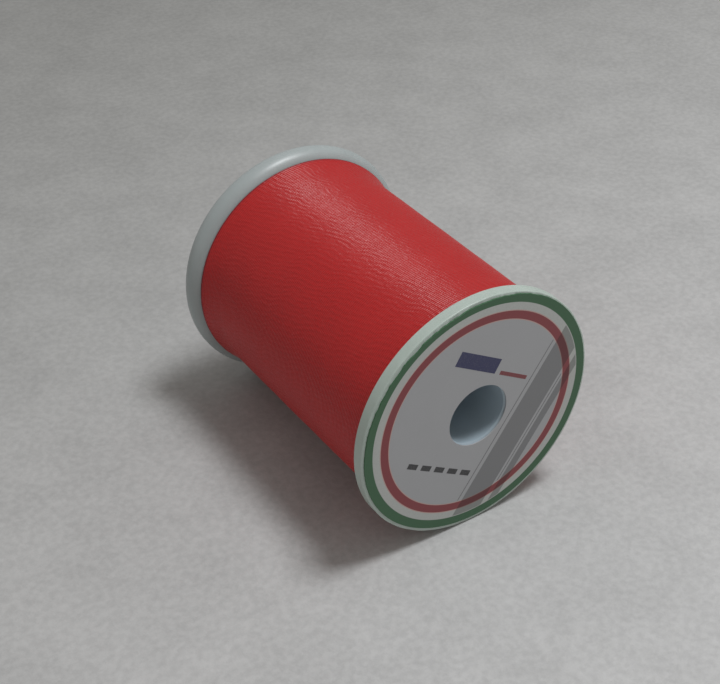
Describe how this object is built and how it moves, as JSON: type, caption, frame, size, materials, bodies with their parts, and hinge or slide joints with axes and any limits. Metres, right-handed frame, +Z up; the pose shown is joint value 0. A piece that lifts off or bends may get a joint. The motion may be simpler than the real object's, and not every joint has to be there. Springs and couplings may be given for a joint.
{
  "type": "thread spool",
  "caption": "Small plastic spool with two round flanges, wound full of fine thread, with a through bore for a spindle and a printed disc on each end.",
  "frame": {"origin": "centre of the spool: on the bore's axis, midway between the two label faces", "axes": "+Y along the bore from the front flange to the rear flange, so the main label faces -Y; +Z up with the spool lying on its rims"},
  "size_m": [0.032, 0.0418, 0.032],
  "materials": {
    "core_plastic": "pale bluish-white moulded polystyrene, satin-gloss",
    "front_flange_plastic": "pale mint-white moulded polystyrene, satin",
    "rear_flange_plastic": "pale bluish-white moulded polystyrene, glossy rounded rim",
    "red_thread": "bright red twisted nylon thread, closely wound, soft sheen",
    "front_label_print": "silver-grey printed disc with green and dark red rings, matt varnish",
    "rear_label_print": "silver-grey printed disc with a thread-coloured ring, matt varnish"
  },
  "bodies": {
    "root": {"core": "core_plastic", "front_flange": "front_flange_plastic", "rear_flange": "rear_flange_plastic", "thread_winding": "red_thread", "front_label": "front_label_print", "rear_label": "rear_label_print"}
  },
  "joints": []
}
